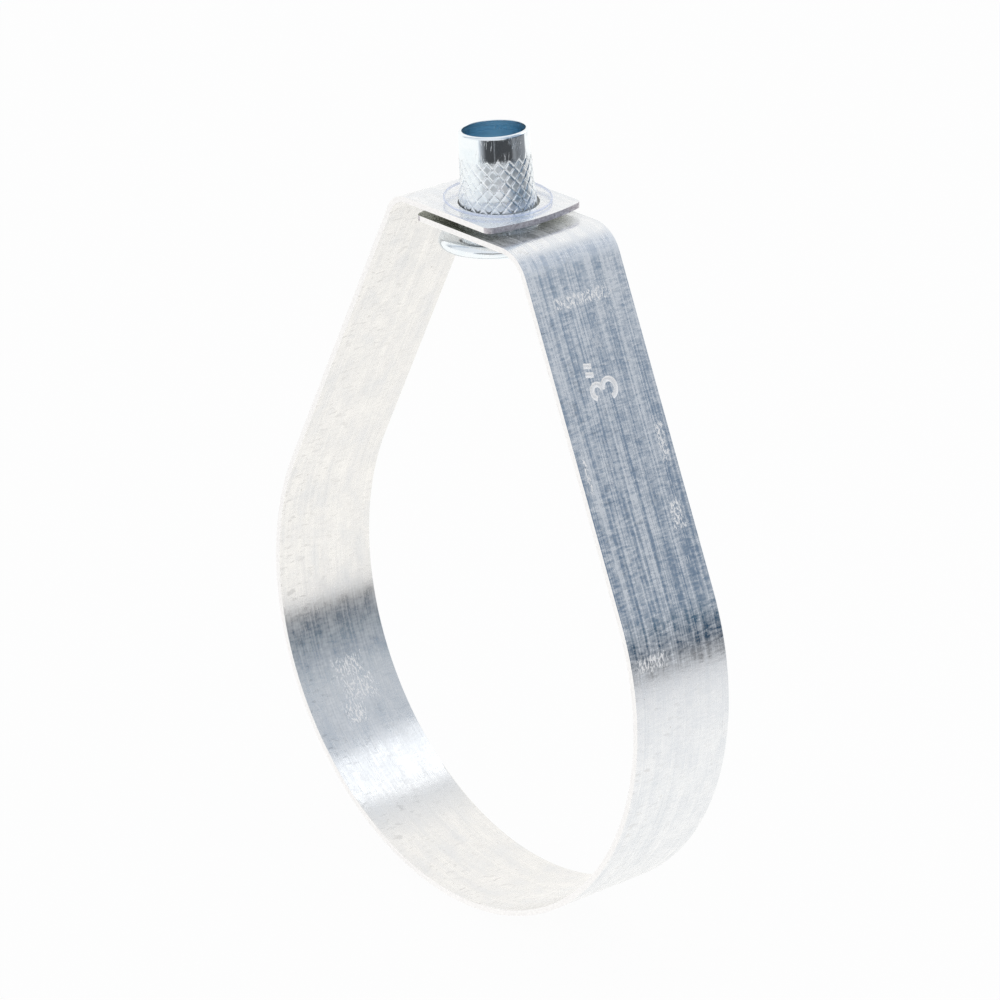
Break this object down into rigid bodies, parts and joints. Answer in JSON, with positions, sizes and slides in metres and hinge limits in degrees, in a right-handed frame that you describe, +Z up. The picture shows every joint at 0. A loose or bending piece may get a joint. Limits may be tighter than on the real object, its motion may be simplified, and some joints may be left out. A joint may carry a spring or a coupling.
{
  "type": "swivel ring hanger",
  "caption": "Teardrop band of galvanised strip that hangs a pipe from a threaded rod, with a loose knurled nut that swivels in its overlapping top tabs under a plastic washer.",
  "frame": {"origin": "centre of the ring that holds the pipe, in the middle of the strip's width", "axes": "+X across the ring towards the leg that ends in the lower tab, +Y along the pipe, +Z up towards the nut"},
  "size_m": [0.0918, 0.0198, 0.1338],
  "materials": {
    "galvanised_strip": "galvanised before forming, satin, scuffed and lightly scratched",
    "zinc_plated_nut": "bright zinc plating with a faint blue tint",
    "clear_plastic": "thin translucent plastic with a faint violet tint"
  },
  "bodies": {
    "nut": {"insert_nut": "zinc_plated_nut", "retaining_washer": "clear_plastic"},
    "ring": {"band": "galvanised_strip"}
  },
  "joints": [
    {"name": "swivel", "type": "hinge", "parent": "nut", "child": "ring", "pos_m": [-0.0006, 0, 0.07385], "axis": [0, 0, 1], "continuous": true}
  ]
}
